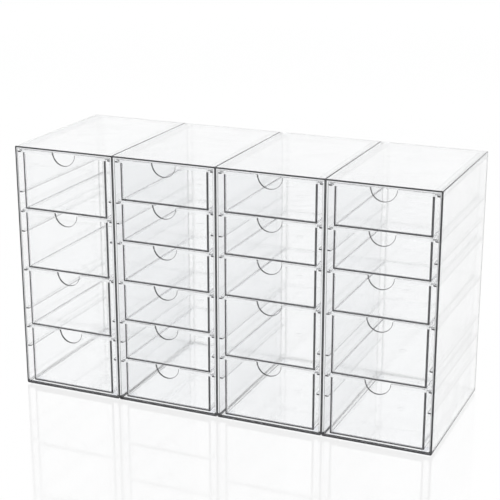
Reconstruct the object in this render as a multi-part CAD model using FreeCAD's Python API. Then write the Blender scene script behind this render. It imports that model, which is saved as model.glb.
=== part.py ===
import FreeCAD
import Part

import os

from FreeCAD import Vector

# Clear drawer organiser for craft stamps: four open-fronted casings stand side by side, and each is a
# single moulding with ledges down both inner walls. The drawers are open boxes that hang by the
# flanges along their top edges, which run on those ledges. Every casing has the ledges for both drawer
# heights, so six small drawers, four large ones or a mix fit the same moulding.
#
# Frame: millimetres, +X to the right along the row, -Y towards the user, +Z up. The origin is on the
# table, under the middle of the row.

# Casing moulding
CASING_WIDTH = 125.2
CASING_DEPTH = 186.0
CASING_WALL = 3.0
CASING_BACK = 2.4
CASING_GAP = 0.2
CASING_TOP_RADIUS = 1.0
CASING_BOTTOM_RADIUS = 2.0
CASING_BACK_RADIUS = 0.8
CAVITY_EDGE_RADIUS = 1.6
FRONT_RIM_ROUND = 0.4

# Slots, counted in units down from the top one
UNIT_PITCH = 47.4
UNITS_HIGH = 6
DRAWER_UNITS = {"small": 1.0, "large": 1.5}
TOWERS = (
    ("large", "large", "large", "large"),
    ("small", "small", "small", "small", "small", "small"),
    ("small", "small", "small", "large", "large"),
    ("small", "small", "small", "large", "large"),
)
ABOVE_FIRST_SLOT = 0.4
BELOW_LAST_SLOT = 0.6

# Ledges on the casing's inner walls
LEDGE_WIDTH = 4.0
LEDGE_THICKNESS = 1.4
LEDGE_SETBACK = 1.0
LEDGE_NOSE = 1.0

# Drawer moulding
DRAWER_WALL = 2.0
DRAWER_FLOOR = 1.8
DRAWER_CORNER_RADIUS = 1.2
DRAWER_BOTTOM_RADIUS = 1.0
POCKET_CORNER_RADIUS = 1.0
POCKET_BOTTOM_RADIUS = 0.8
FLANGE_WIDTH = 5.4
FLANGE_THICKNESS = 1.5
FLANGE_CORNER_RADIUS = 2.5
BEAD_HEIGHT = 3.0
BEAD_PROUD = 0.6
NOTCH_RADIUS = 14.2
NOTCH_LIP_ROUND = 1.2

# Room around a closed drawer
SIDE_CLEARANCE = 0.6
HEADROOM = 0.6
UNDER_CLEARANCE = 0.5
REST_CLEARANCE = 0.2
FRONT_RECESS = 1.5
REAR_CLEARANCE = 0.5

# Round marks that the ejector pins and the gate leave in the plastic
PIN_MARK_RADIUS = 3.0
PIN_MARK_DEPTH = 0.25
PIN_MARK_INSET = 12.0
PIN_MARK_HEIGHT = 13.0
GATE_DIMPLE_RADIUS = 4.0
GATE_DIMPLE_DEPTH = 0.35

# Clear anti-slip feet, stuck into shallow sockets under each casing
FOOT_RADIUS = 5.0
FOOT_STAND = 1.6
FOOT_INSET = 11.0
FOOT_SOCKET_DEPTH = 0.5
FOOT_SOCKET_CLEARANCE = 0.2
FOOT_GLUE_FILM = 0.05
FOOT_EDGE_ROUND = 0.4

# Places that follow from the sizes above
CAVITY_HEIGHT = ABOVE_FIRST_SLOT + UNITS_HIGH * UNIT_PITCH + BELOW_LAST_SLOT
CASING_HEIGHT = CASING_WALL + CAVITY_HEIGHT + CASING_WALL
CASING_TOP = FOOT_STAND + CASING_HEIGHT
CAVITY_TOP = CASING_TOP - CASING_WALL
SLOTS_TOP = CAVITY_TOP - ABOVE_FIRST_SLOT
CASING_FRONT = -CASING_DEPTH / 2
CAVITY_REAR = CASING_DEPTH / 2 - CASING_BACK
CAVITY_WIDTH = CASING_WIDTH - 2 * CASING_WALL
DRAWER_FRONT = CASING_FRONT + FRONT_RECESS
DRAWER_REAR = CAVITY_REAR - REAR_CLEARANCE
DRAWER_WIDTH = CAVITY_WIDTH - 2 * (SIDE_CLEARANCE + FLANGE_WIDTH)
LEDGE_DROP = HEADROOM + FLANGE_THICKNESS + REST_CLEARANCE
PARTS_FOLDER = "parts"
PAST = 5.0  # how far a cutting tool reaches past the face that it opens
TOUCH = 0.001  # how near a height or a plane an edge has to be to count as lying in it


def box(x_range, y_range, z_range):
    """A plain box between two limits on each axis."""
    (x0, x1), (y0, y1), (z0, z1) = x_range, y_range, z_range
    return Part.makeBox(x1 - x0, y1 - y0, z1 - z0, Vector(x0, y0, z0))


def edges_along(shape, axis):
    """The straight edges of a shape that run along an axis, given as X, Y or Z."""
    direction = {"X": Vector(1, 0, 0), "Y": Vector(0, 1, 0), "Z": Vector(0, 0, 1)}[axis]
    found = []
    for edge in shape.Edges:
        if isinstance(edge.Curve, (Part.Line, Part.LineSegment)):
            if abs(edge.tangentAt(edge.FirstParameter).dot(direction)) > 0.999:
                found.append(edge)
    return found


def edges_in_plane(shape, axis, place):
    """The edges of a shape that lie in the plane where that axis has that value."""
    low, high = axis + "Min", axis + "Max"
    return [
        edge
        for edge in shape.Edges
        if abs(getattr(edge.BoundBox, low) - place) < TOUCH
        and abs(getattr(edge.BoundBox, high) - place) < TOUCH
    ]


def long_edges_at(shape, height):
    """The straight edges that run from front to back at a height."""
    return [edge for edge in edges_along(shape, "Y") if abs(edge.CenterOfMass.z - height) < TOUCH]


def disc(radius, thickness, centre, direction):
    """A short round plug that starts at a centre and grows along a direction."""
    return Part.makeCylinder(radius, thickness, centre, direction)


def tower_centre(tower):
    """The X place of a casing's middle, counting towers from 0 at the left."""
    return (tower - (len(TOWERS) - 1) / 2) * (CASING_WIDTH + CASING_GAP)


def ledge_levels():
    """How many units below the first slot's top each pair of ledges serves, for both drawer heights."""
    levels = set()
    for units in DRAWER_UNITS.values():
        level = 0.0
        while level + units <= UNITS_HIGH:
            levels.add(level)
            level += units
    return sorted(levels)


def foot_places():
    """The four feet of one casing, as X and Y from the casing's middle."""
    x = CASING_WIDTH / 2 - FOOT_INSET
    y = CASING_DEPTH / 2 - FOOT_INSET
    return [(-x, -y), (x, -y), (-x, y), (x, y)]


def casing_shell():
    """The open-fronted box: rounded outside, with a squarer cavity that stops short of the back."""
    half = CASING_WIDTH / 2
    outside = box((-half, half), (CASING_FRONT, -CASING_FRONT), (FOOT_STAND, CASING_TOP))
    outside = outside.makeFillet(CASING_TOP_RADIUS, long_edges_at(outside, CASING_TOP))
    outside = outside.makeFillet(CASING_BOTTOM_RADIUS, long_edges_at(outside, FOOT_STAND))
    outside = outside.makeFillet(CASING_BACK_RADIUS, edges_in_plane(outside, "Y", -CASING_FRONT))
    cavity = box(
        (-CAVITY_WIDTH / 2, CAVITY_WIDTH / 2),
        (CASING_FRONT - PAST, CAVITY_REAR),
        (FOOT_STAND + CASING_WALL, CAVITY_TOP),
    )
    cavity = cavity.makeFillet(CAVITY_EDGE_RADIUS, edges_along(cavity, "Y"))
    shell = outside.cut(cavity)
    return shell.makeFillet(FRONT_RIM_ROUND, edges_in_plane(shell, "Y", CASING_FRONT))


def ledge(side, level):
    """One ledge on the left (-1) or right (1) wall, with its front corner cut back as a lead-in."""
    top = SLOTS_TOP - level * UNIT_PITCH - LEDGE_DROP
    wall = side * CAVITY_WIDTH / 2
    root = wall + side * CASING_WALL / 2
    free = wall - side * LEDGE_WIDTH
    front = CASING_FRONT + LEDGE_SETBACK
    rear = CAVITY_REAR + CASING_BACK / 2
    outline = Part.makePolygon(
        [
            Vector(root, front, top),
            Vector(free + side * LEDGE_NOSE, front, top),
            Vector(free, front + LEDGE_NOSE, top),
            Vector(free, rear, top),
            Vector(root, rear, top),
            Vector(root, front, top),
        ]
    )
    return Part.Face(outline).extrude(Vector(0, 0, -LEDGE_THICKNESS))


def casing(tower):
    """One casing moulding with its ledges, foot sockets and gate dimple, in its place in the row."""
    body = casing_shell()
    ledges = [ledge(side, level) for side in (-1, 1) for level in ledge_levels()]
    body = body.fuse(ledges).removeSplitter()
    socket_radius = FOOT_RADIUS + FOOT_SOCKET_CLEARANCE
    marks = [
        disc(socket_radius, FOOT_SOCKET_DEPTH, Vector(x, y, FOOT_STAND), Vector(0, 0, 1))
        for x, y in foot_places()
    ]
    gate = Vector(0, -CASING_FRONT, FOOT_STAND + CASING_HEIGHT / 2)
    marks.append(disc(GATE_DIMPLE_RADIUS, GATE_DIMPLE_DEPTH, gate, Vector(0, -1, 0)))
    body = body.cut(marks)
    body.translate(Vector(tower_centre(tower), 0, 0))
    return body


def feet(tower):
    """The four round feet of one casing, each a separate solid."""
    height = FOOT_STAND + FOOT_SOCKET_DEPTH - FOOT_GLUE_FILM
    pads = []
    for x, y in foot_places():
        pad = disc(FOOT_RADIUS, height, Vector(tower_centre(tower) + x, y, 0), Vector(0, 0, 1))
        pads.append(pad.makeFillet(FOOT_EDGE_ROUND, edges_in_plane(pad, "Z", 0)))
    return Part.makeCompound(pads)


def drawer_box(height):
    """The drawer's box, with its top at Z 0: rounded corners outside and a pocket open at the top."""
    half = DRAWER_WIDTH / 2
    body = box((-half, half), (DRAWER_FRONT, DRAWER_REAR), (-height, 0))
    body = body.makeFillet(DRAWER_CORNER_RADIUS, edges_along(body, "Z"))
    body = body.makeFillet(DRAWER_BOTTOM_RADIUS, edges_in_plane(body, "Z", -height))
    return body


def drawer_pocket(height):
    """The hollow of a drawer, which reaches past its top."""
    half = DRAWER_WIDTH / 2 - DRAWER_WALL
    front, rear = DRAWER_FRONT + DRAWER_WALL, DRAWER_REAR - DRAWER_WALL
    pocket = box((-half, half), (front, rear), (DRAWER_FLOOR - height, PAST))
    pocket = pocket.makeFillet(POCKET_CORNER_RADIUS, edges_along(pocket, "Z"))
    return pocket.makeFillet(POCKET_BOTTOM_RADIUS, edges_in_plane(pocket, "Z", DRAWER_FLOOR - height))


def flanges():
    """One plate as wide as both flanges, which the pocket later splits into the two of them."""
    half = DRAWER_WIDTH / 2 + FLANGE_WIDTH
    plate = box((-half, half), (DRAWER_FRONT, DRAWER_REAR), (-FLANGE_THICKNESS, 0))
    return plate.makeFillet(FLANGE_CORNER_RADIUS, edges_along(plate, "Z"))


def finger_notch():
    """The half-round cutter for the notch in the front, with its two lips rounded over."""
    reach = DRAWER_WALL + 2 * PAST
    start = DRAWER_FRONT - PAST
    back = Vector(0, 1, 0)
    round_cut = Part.makeCylinder(NOTCH_RADIUS, reach, Vector(0, start, 0), back)
    half = NOTCH_RADIUS + NOTCH_LIP_ROUND
    cutter = round_cut.fuse(box((-half, half), (start, start + reach), (-NOTCH_LIP_ROUND, PAST)))
    for side in (-1, 1):
        lip = Part.makeCylinder(
            NOTCH_LIP_ROUND, reach, Vector(side * half, start, -NOTCH_LIP_ROUND), back
        )
        cutter = cutter.cut(lip)
    return cutter


def drawer(tower, size, level):
    """A closed drawer for the slot whose top is that many units below the first slot's top."""
    height = DRAWER_UNITS[size] * UNIT_PITCH - HEADROOM - UNDER_CLEARANCE
    bead = box(
        (-DRAWER_WIDTH / 2, DRAWER_WIDTH / 2),
        (DRAWER_FRONT - BEAD_PROUD, DRAWER_FRONT + DRAWER_WALL),
        (-BEAD_HEIGHT, 0),
    )
    body = drawer_box(height).fuse([flanges(), bead]).removeSplitter()
    marks = [drawer_pocket(height), finger_notch()]
    for side in (-1, 1):
        x = side * (DRAWER_WIDTH / 2 - PIN_MARK_INSET)
        place = Vector(x, DRAWER_REAR, PIN_MARK_HEIGHT - height)
        marks.append(disc(PIN_MARK_RADIUS, PIN_MARK_DEPTH, place, Vector(0, -1, 0)))
    middle = Vector(0, (DRAWER_FRONT + DRAWER_REAR) / 2, -height)
    marks.append(disc(GATE_DIMPLE_RADIUS, GATE_DIMPLE_DEPTH, middle, Vector(0, 0, 1)))
    for mark in marks:
        body = body.cut(mark)
    top = SLOTS_TOP - level * UNIT_PITCH - HEADROOM
    body.translate(Vector(tower_centre(tower), 0, top))
    return body


def all_parts():
    """Every sub-part by its node name."""
    made = {}
    for tower, sizes in enumerate(TOWERS):
        made[f"casing_{tower + 1}"] = casing(tower)
        made[f"feet_{tower + 1}"] = feet(tower)
        level = 0.0
        for place, size in enumerate(sizes):
            made[f"{size}_drawer_{tower + 1}_{place + 1}"] = drawer(tower, size, level)
            level += DRAWER_UNITS[size]
    return made


def main():
    os.makedirs(PARTS_FOLDER, exist_ok=True)
    for name, shape in all_parts().items():
        if not shape.isValid():
            raise RuntimeError(f"{name} isn't a valid shape")
        shape.exportStep(os.path.join(PARTS_FOLDER, name + ".step"))
        print(f"{name}: {len(shape.Solids)} solids, {shape.Volume / 1000:.1f} cm3")


main()
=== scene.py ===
import math

import bpy
from mathutils import Matrix, Vector


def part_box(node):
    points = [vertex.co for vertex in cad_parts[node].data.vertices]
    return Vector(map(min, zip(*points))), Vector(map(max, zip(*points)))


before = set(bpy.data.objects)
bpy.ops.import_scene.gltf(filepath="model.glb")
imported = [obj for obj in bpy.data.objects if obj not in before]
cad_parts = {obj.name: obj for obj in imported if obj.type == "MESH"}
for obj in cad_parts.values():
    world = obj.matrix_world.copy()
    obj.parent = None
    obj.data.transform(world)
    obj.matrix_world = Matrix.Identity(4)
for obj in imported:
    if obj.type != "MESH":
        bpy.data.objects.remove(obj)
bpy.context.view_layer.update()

MM = 0.001

# ---------------------------------------------------------------- places and sizes, in metres, from the frame
casing_low, casing_high = (Vector(corner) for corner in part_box("casing_1"))
next_casing_low = Vector(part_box("casing_2")[0])
large_low, large_high = (Vector(corner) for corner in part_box("large_drawer_1_1"))
large_below = Vector(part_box("large_drawer_1_2")[1])
small_low, small_high = (Vector(corner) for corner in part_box("small_drawer_2_1"))
small_below = Vector(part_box("small_drawer_2_2")[1])

TOWER_PITCH = next_casing_low.x - casing_low.x
TOWER_MIDDLE = (casing_low.x + casing_high.x) / 2
ROW_HALF = -casing_low.x
CASING_HALF = (casing_high.x - casing_low.x) / 2
CASING_DEPTH = casing_high.y - casing_low.y
CASING_MIDDLE_HEIGHT = (casing_low.z + casing_high.z) / 2
DRAWER_TOP = large_high.z
DRAWER_FRONT = large_low.y
DRAWER_MIDDLE_DEPTH = (large_low.y + large_high.y) / 2
LARGE_STEP = large_high.z - large_below.z
SMALL_STEP = small_high.z - small_below.z
LARGE_TALL = large_high.z - large_low.z
SMALL_TALL = small_high.z - small_low.z

# ---------------------------------------------------------------- the mouldings
CASING_WALL = 3.0 * MM
CASING_BACK = 2.4 * MM
CAVITY_ROUND = 1.7 * MM
LEDGE_WIDTH = 4.0 * MM
LEDGE_SETBACK = 1.0 * MM     # how far behind the casing's rim its ledges start
DRAWER_HALF = 53.6 * MM
BEAD_HEIGHT = 3.0 * MM
NOTCH_RADIUS = 14.2 * MM

# ---------------------------------------------------------------- how deep under the surface a look reaches
RIM_DEPTH = 0.35 * MM        # the casing's front rim
SKIN_DEPTH = 0.65 * MM       # the casing's outside, rounded edges included
FRONT_DEPTH = 1.3 * MM       # a drawer's front face, rounded edges included
NOTCH_DEPTH = 2.2 * MM       # the whole front wall, with the notch's edge
SIDE_START = 1.0 * MM        # how far behind the rim the casing's sides take their own look
TOUCH = 0.1 * MM
STEP_SHARE = 0.001           # keeps the top of a drawer in its own step

# ---------------------------------------------------------------- width of the painted dark line along each edge, painted shade for the darkness that refraction gives a clear edge
OUTLINE = 1.6 * MM           # along the top and bottom of a casing's rim
OUTER_OUTLINE = 2.0 * MM     # down the two ends of the row
INNER_OUTLINE = 1.2 * MM     # down the sides where two towers meet
CAVITY_LINE = 0.4 * MM
LONG_LINE = 0.9 * MM
LOW_LINE = 3.8 * MM
LOW_EDGE = 5.0 * MM          # the height within which a long edge is drawn with the low line
REAR_LINE = 2.0 * MM
LEFT_END = 3.0 * MM
LEDGE_TIP = 0.5 * MM
SIDE_LINE = 2.2 * MM
BOTTOM_LINE = 2.2 * MM
NOTCH_LINE = 0.6 * MM

# ---------------------------------------------------------------- how dark each painted line of shade is, from 0 to 1
OUTLINE_DARK = 0.95
CAVITY_DARK = 0.3
LONG_DARK = 0.9
LONG_FADE = 0.5              # how much of a long edge's darkness is gone at the back
LEFT_FADE = 0.6
REAR_DARK = 0.75
LEDGE_END_DARK = 0.95
LEDGE_TIP_DARK = 0.35
LEDGE_DARK = 0.05
FRONT_EDGE_DARK = 0.92
NOTCH_DARK = 0.78
FLANGE_END_DARK = 0.45
ROUNDED_DARK = 0.15

# ---------------------------------------------------------------- how much painted light each face gets as opaque satin white, from 0 to 1
RIM_PAINTED_LIGHT = 0.8
SIDE_PAINTED_LIGHT = 0.15
MEETING_PAINTED_LIGHT = 0.55         # on the faces where two towers meet
BEAD_PAINTED_HIGHLIGHT = 0.5

# ---------------------------------------------------------------- clear plastic
CLEAR = (0.9968, 0.9985, 1.0, 1)
ABSORBED = (0.3, 0.42, 0.75, 1)
# painted light: the satin white that stands in for light led out through the rim, for the bead's highlight,
# and for the paler look of the sides
PAINTED_LIGHT_WHITE = (0.96, 0.972, 0.985, 1)
# painted shade: the dark grey of the edge lines, standing in for the darkness that refraction gives the edges
# of clear plastic
PAINTED_EDGE_SHADE = (0.026, 0.026, 0.029, 1)
PLASTIC_IOR = 1.5
CASING_ABSORPTION = 0.2
LARGE_ABSORPTION = 0.2
SMALL_ABSORPTION = 0.25
FOOT_ABSORPTION = 40.0
POLISHED = 0.03
HANDLED = 0.05               # what the casings' outsides add to it
SATIN_ROUGHNESS = 0.4
COAT_IOR = 1.9
COAT_ROUGHNESS = 0.08
FLATTEST = 0.985             # a surface that faces along no axis more than this is rounded

# ---------------------------------------------------------------- the moulded surface, heights in millimetres
WAVES_PER_METRE = 25.0
WAVE_HEIGHT = 0.3
GRAINS_PER_METRE = 900.0
GRAIN_HEIGHT = 0.002
FLOW_RINGS = 350.0           # radians of ripple in each metre out from the gate
FLOW_FADE = 6.0              # the ripple is gone at one part in this many of a metre
FLOW_HEIGHT = 0.012
WIPES_PER_METRE = 14.0
WIPE_ROUGHNESS = 0.12
HAIRLINE_WIDTH = 0.004
HAIRLINE_ROUGHNESS = 0.05
HAIRLINE_STRETCHES = ((700.0, 18.0, 500.0), (22.0, 600.0, 640.0), (520.0, 560.0, 16.0))
FOOT_GRAIN_HEIGHT = 0.05
FOOT_ROUGHNESS = 0.2

# ---------------------------------------------------------------- floor, room and camera
FLOOR_SIZE = 30
FLOOR_ROUGHNESS = 0.07
FLOOR_IOR = 1.7
WHITE = (1, 1, 1, 1)
VIEW_AZIMUTH = math.radians(23.24)
VIEW_ELEVATION = math.radians(17.70)
CAMERA_PLACE = Vector((0.5853, -1.3617, 0.6458))
FOCAL_PIXELS = 1347
FRAME_PIXELS = 500
SENSOR = 36.0


class Value:
    """A number that changes over the surface. Python's operators add the Math nodes that work it out."""

    def __init__(self, finish, socket):
        self.finish = finish
        self.socket = socket

    def maths(self, operation, *values):
        node = self.finish.node("ShaderNodeMath", {"operation": operation}, dict(enumerate(values)))
        return Value(self.finish, node.outputs[0])

    def __add__(self, other):
        return self.maths("ADD", self, other)

    def __radd__(self, other):
        return self.maths("ADD", other, self)

    def __sub__(self, other):
        return self.maths("SUBTRACT", self, other)

    def __rsub__(self, other):
        return self.maths("SUBTRACT", other, self)

    def __mul__(self, other):
        return self.maths("MULTIPLY", self, other)

    def __rmul__(self, other):
        return self.maths("MULTIPLY", other, self)

    def __truediv__(self, other):
        return self.maths("DIVIDE", self, other)

    def __rtruediv__(self, other):
        return self.maths("DIVIDE", other, self)

    def __gt__(self, other):
        return self.maths("GREATER_THAN", self, other)

    def __lt__(self, other):
        return self.maths("LESS_THAN", self, other)

    def __abs__(self):
        return self.maths("ABSOLUTE", self)

    def fraction(self):
        return self.maths("FRACT", self)

    def root(self):
        return self.maths("SQRT", self)

    def sine(self):
        return self.maths("SINE", self)

    def or_more(self, other):
        return self.maths("MAXIMUM", self, other)

    def or_less(self, other):
        return self.maths("MINIMUM", self, other)


class Finish:
    """A material while it's being made."""

    def __init__(self, name):
        self.material = bpy.data.materials.new(name)
        self.material.use_nodes = True
        self.tree = self.material.node_tree
        self.tree.nodes.clear()
        self.output = self.node("ShaderNodeOutputMaterial")

    def node(self, kind, settings=None, sockets=None):
        """A new node with its settings, and with the values or links of its sockets."""
        made = self.tree.nodes.new(kind)
        for name, value in (settings or {}).items():
            setattr(made, name, value)
        for name, value in (sockets or {}).items():
            self.feed(made.inputs[name], value)
        return made

    def feed(self, slot, value):
        if isinstance(value, Value):
            value = value.socket
        if isinstance(value, bpy.types.NodeSocket):
            self.tree.links.new(value, slot)
        else:
            slot.default_value = value

    def axes(self, vector):
        split = self.node("ShaderNodeSeparateXYZ", sockets={"Vector": vector})
        return [Value(self, split.outputs[axis]) for axis in "XYZ"]

    def spot(self):
        """The point on the object, in metres."""
        return self.node("ShaderNodeTexCoord").outputs["Object"]

    def facing(self):
        """The way the surface faces, as seen from the object."""
        return self.axes(self.node("ShaderNodeTexCoord").outputs["Normal"])

    def noise(self, spot, scale, detail):
        sockets = {"Vector": spot, "Scale": scale, "Detail": detail}
        return Value(self, self.node("ShaderNodeTexNoise", sockets=sockets).outputs[0])

    def bump(self, height):
        """The surface's direction, from a height in millimetres."""
        return self.node("ShaderNodeBump", sockets={"Distance": MM, "Height": height}).outputs[0]

    def mix(self, factor, first, second):
        """A shader between two others."""
        return self.node("ShaderNodeMixShader", sockets={0: factor, 1: first, 2: second}).outputs[0]

    def blend(self, factor, first, second):
        """A colour between two others."""
        sockets = {0: factor, 6: first, 7: second}
        return self.node("ShaderNodeMix", {"data_type": "RGBA"}, sockets).outputs[2]

    def wear(self, shader):
        self.feed(self.output.inputs["Surface"], shader)


# ---------------------------------------------------------------- clear plastic, moulded and handled
def moulded_normal(finish, spot, gate_distance):
    """Slow waves, fine grain, and the flow rings around the gate where the plastic came in."""
    waves = finish.noise(spot, WAVES_PER_METRE, 1.0)
    grain = finish.noise(spot, GRAINS_PER_METRE, 2.0)
    flow = (gate_distance * FLOW_RINGS).sine() * (1.0 - gate_distance * FLOW_FADE).or_more(0.0)
    return finish.bump(waves * WAVE_HEIGHT + grain * GRAIN_HEIGHT + flow * FLOW_HEIGHT)


def handling_marks(finish, spot):
    """Dull wiped patches and hairline scratches, as an addition to the roughness."""
    wiped = (finish.noise(spot, WIPES_PER_METRE, 3.0) - 0.5).or_more(0.0)
    hairlines = 0.0
    for stretch in HAIRLINE_STRETCHES:
        drawn_out = finish.node("ShaderNodeMapping", sockets={"Vector": spot, "Scale": stretch})
        scratch = finish.noise(drawn_out.outputs[0], 1.0, 0.0) - 0.5
        hairlines = (abs(scratch) < HAIRLINE_WIDTH) + hairlines
    return wiped * WIPE_ROUGHNESS + hairlines * HAIRLINE_ROUGHNESS


def glass_clear(finish, roughness, normal, coat=0.0):
    return finish.node("ShaderNodeBsdfPrincipled", sockets={
        "Base Color": CLEAR,
        "Roughness": roughness,
        "IOR": PLASTIC_IOR,
        "Normal": normal,
        "Transmission Weight": 1.0,
        "Coat Weight": coat,
        "Coat Roughness": COAT_ROUGHNESS,
        "Coat IOR": COAT_IOR,
    }).outputs[0]


def edged(finish, clear, dark, painted_light, normal):
    """Clear plastic with painted shade and painted light: dark grey along its edge lines, standing in for the
    darkness refraction gives a clear edge, and satin white where painted light stands in for highlights and
    for light led out through the plastic.
    """
    colour = finish.blend(dark > 0.0, PAINTED_LIGHT_WHITE, PAINTED_EDGE_SHADE)
    satin = finish.node("ShaderNodeBsdfPrincipled", sockets={
        "Base Color": colour,
        "Roughness": SATIN_ROUGHNESS,
        "Normal": normal,
    })
    return finish.mix(dark.or_more(painted_light), clear, satin.outputs[0])


def see_through(finish, surface, absorption):
    """Lets the room's light through without a dark shadow, and tints it by its way through the plastic."""
    path = finish.node("ShaderNodeLightPath")
    passing = finish.node("ShaderNodeBsdfTransparent", sockets={"Color": WHITE}).outputs[0]
    for ray in ("Is Diffuse Ray", "Is Shadow Ray"):
        surface = finish.mix(path.outputs[ray], surface, passing)
    finish.wear(surface)
    tint = finish.node("ShaderNodeVolumeAbsorption", sockets={"Color": ABSORBED, "Density": absorption})
    finish.feed(finish.output.inputs["Volume"], tint.outputs[0])
    return finish.material


def tower_phase(x):
    """How far a point is to the side of its own tower's middle."""
    return ((x - TOWER_MIDDLE) / TOWER_PITCH + 0.5).fraction() * TOWER_PITCH - TOWER_PITCH / 2


def length(first, second):
    return (first * first + second * second).root()


# ---------------------------------------------------------------- the casings
def casing_plastic():
    finish = Finish("clear_casing_plastic")
    spot = finish.spot()
    x, y, z = finish.axes(spot)
    across = tower_phase(x)

    # how far a point is from each outside face
    aside = CASING_HALF - abs(across)
    above_base = z - casing_low.z
    upright = (casing_high.z - z).or_less(above_base)
    behind_front = y - casing_low.y
    before_back = casing_high.y - y
    along = behind_front.or_less(before_back)
    skin = aside.or_less(upright).or_less(along) < SKIN_DEPTH
    side = skin * (behind_front > SIDE_START)
    meeting = (aside < SKIN_DEPTH) * (abs(x) < ROW_HALF - CASING_WALL)

    # the front rim: its outline and the line around the cavity, as painted shade, with painted light on the
    # rim between them
    rim = behind_front < RIM_DEPTH
    row_end = abs(x) > ROW_HALF - CASING_WALL
    side_outline = row_end * (OUTER_OUTLINE - INNER_OUTLINE) + INNER_OUTLINE
    outlined = (aside < side_outline).or_more(upright < OUTLINE)
    from_outside = aside.or_less(upright)
    cavity_line = (from_outside > CASING_WALL - CAVITY_LINE) * (from_outside < CASING_WALL)

    # painted shade along the edges that run back, wider near the floor, and down the rear uprights
    from_edge = aside.or_less(along).or_more(aside.or_more(along).or_less(upright))
    line_width = (above_base < LOW_EDGE) * (LOW_LINE - LONG_LINE) + LONG_LINE
    back_fade = 1.0 - behind_front / CASING_DEPTH * LONG_FADE
    left_fade = 1.0 - (x < LEFT_END - ROW_HALF) * LEFT_FADE
    long_line = skin * (from_edge < line_width) * back_fade * left_fade
    rear_line = (before_back < REAR_LINE) * (aside < SKIN_DEPTH)

    # the ledges on the inner walls, with painted shade at their front ends and tips and a faint painted shade
    # along them
    in_cavity = (aside > CASING_WALL + TOUCH) * (upright > CASING_WALL + CAVITY_ROUND)
    ledge = in_cavity * (before_back > CASING_BACK + TOUCH)
    ledge_end = ledge * (behind_front < LEDGE_SETBACK + RIM_DEPTH)
    ledge_tip = ledge * (aside > CASING_WALL + LEDGE_WIDTH - LEDGE_TIP)

    # painted shade: every dark line above, standing in for the darkness of the plastic's edges
    dark = (rim * outlined * OUTLINE_DARK).or_more(rim * cavity_line * CAVITY_DARK)
    dark = dark.or_more(long_line * LONG_DARK).or_more(rear_line * REAR_DARK)
    dark = dark.or_more(ledge_end * LEDGE_END_DARK).or_more(ledge_tip * LEDGE_TIP_DARK)
    dark = dark.or_more(ledge * LEDGE_DARK)
    # painted light: satin white on the rim between its lines, a little on the sides, and more where two
    # towers meet
    painted_light = (rim * (1.0 - outlined) * RIM_PAINTED_LIGHT).or_more(side * SIDE_PAINTED_LIGHT)
    painted_light = painted_light.or_more(meeting * side * MEETING_PAINTED_LIGHT)

    normal = moulded_normal(finish, spot, length(across, z - CASING_MIDDLE_HEIGHT))
    roughness = side * HANDLED + handling_marks(finish, spot) + POLISHED
    clear = glass_clear(finish, roughness, normal, coat=side)
    return see_through(finish, edged(finish, clear, dark, painted_light, normal), CASING_ABSORPTION)


# ---------------------------------------------------------------- the drawers
def rounded(finish):
    """1 on a rounded edge and 0 on a flat face."""
    x, y, z = finish.facing()
    return abs(x).or_more(abs(y)).or_more(abs(z)) < FLATTEST


def drawer_plastic(name, step, tall, absorption):
    finish = Finish(name)
    spot = finish.spot()
    x, y, z = finish.axes(spot)
    across = tower_phase(x)
    inward = DRAWER_HALF - abs(across)
    down = ((DRAWER_TOP - z) / step + STEP_SHARE).fraction() * step
    from_notch = length(across, down)
    front = y < DRAWER_FRONT + FRONT_DEPTH
    body = inward > 0.0

    # painted shade: dark lines down the sides of the front, along its bottom, round the notch, at the flange
    # ends and on the rounded edges
    side_line = front * (inward < SIDE_LINE) * body * (down > BEAD_HEIGHT)
    bottom_line = front * (tall - down < BOTTOM_LINE)
    flange_end = front * (inward < 0.0)
    notch_line = (y < DRAWER_FRONT + NOTCH_DEPTH) * (abs(from_notch - NOTCH_RADIUS) < NOTCH_LINE)
    dark = (side_line.or_more(bottom_line) * FRONT_EDGE_DARK).or_more(notch_line * NOTCH_DARK)
    dark = dark.or_more(flange_end * FLANGE_END_DARK).or_more(rounded(finish) * ROUNDED_DARK)
    # painted highlight: satin white on the bead band above the notch
    bead = front * (down < BEAD_HEIGHT) * (from_notch > NOTCH_RADIUS + NOTCH_LINE) * body

    normal = moulded_normal(finish, spot, length(across, y - DRAWER_MIDDLE_DEPTH))
    clear = glass_clear(finish, handling_marks(finish, spot) + POLISHED, normal)
    return see_through(finish, edged(finish, clear, dark, bead * BEAD_PAINTED_HIGHLIGHT, normal), absorption)


# ---------------------------------------------------------------- the feet
def foot_rubber():
    finish = Finish("clear_foot_rubber")
    grain = finish.noise(finish.spot(), GRAINS_PER_METRE, 3.0)
    normal = finish.bump(grain * FOOT_GRAIN_HEIGHT)
    clear = glass_clear(finish, grain * FOOT_ROUGHNESS + FOOT_ROUGHNESS, normal)
    return see_through(finish, clear, FOOT_ABSORPTION)


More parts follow.
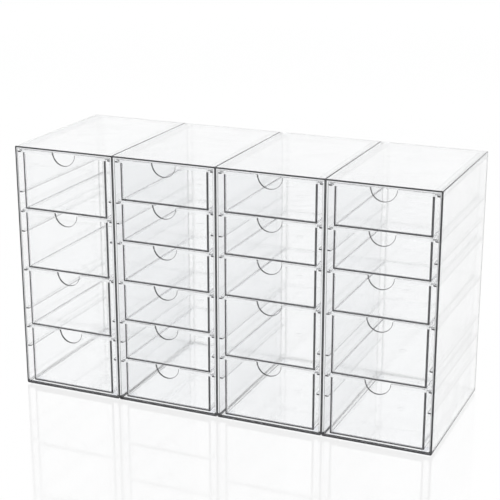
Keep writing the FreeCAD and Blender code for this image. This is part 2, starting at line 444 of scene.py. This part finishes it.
LOOKS = {
    "casing": casing_plastic(),
    "large": drawer_plastic("clear_large_drawer_plastic", LARGE_STEP, LARGE_TALL, LARGE_ABSORPTION),
    "small": drawer_plastic("clear_small_drawer_plastic", SMALL_STEP, SMALL_TALL, SMALL_ABSORPTION),
    "feet": foot_rubber(),
}
for name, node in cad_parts.items():
    for slot in node.material_slots:
        slot.material = LOOKS[name.split("_")[0]]


# ---------------------------------------------------------------- floor, light and camera
def glossy_floor():
    bpy.ops.mesh.primitive_plane_add(size=FLOOR_SIZE)
    floor = bpy.context.object
    floor.name = "floor"
    finish = Finish("floor")
    gloss = finish.node("ShaderNodeBsdfPrincipled", sockets={
        "Base Color": WHITE,
        "Roughness": FLOOR_ROUGHNESS,
        "IOR": FLOOR_IOR,
    })
    finish.wear(gloss.outputs[0])
    floor.data.materials.append(finish.material)


def white_room(scene):
    """Soft even light from all round, with no lamps."""
    scene.world = bpy.data.worlds.new("studio")
    scene.world.use_nodes = True
    background = scene.world.node_tree.nodes["Background"]
    background.inputs["Color"].default_value = WHITE
    background.inputs["Strength"].default_value = 1.0


def front_camera(scene):
    towards = Vector((math.sin(VIEW_AZIMUTH) * math.cos(VIEW_ELEVATION),
                      -math.cos(VIEW_AZIMUTH) * math.cos(VIEW_ELEVATION),
                      math.sin(VIEW_ELEVATION)))
    right = Vector((math.cos(VIEW_AZIMUTH), math.sin(VIEW_AZIMUTH), 0))
    turned = Matrix((right, towards.cross(right), towards)).transposed().to_4x4()
    lens = bpy.data.cameras.new("camera")
    lens.sensor_width = SENSOR
    lens.lens = SENSOR * FOCAL_PIXELS / FRAME_PIXELS
    lens.clip_start = 10 * MM
    scene.camera = bpy.data.objects.new("camera", lens)
    scene.camera.matrix_world = Matrix.Translation(CAMERA_PLACE) @ turned
    scene.collection.objects.link(scene.camera)


scene = bpy.context.scene
glossy_floor()
white_room(scene)
front_camera(scene)

scene.view_settings.view_transform = "Standard"
# light that is led along inside a wall needs many bounces to come out again
scene.cycles.max_bounces = 160
scene.cycles.transmission_bounces = 96
scene.cycles.glossy_bounces = 96
scene.cycles.transparent_max_bounces = 48
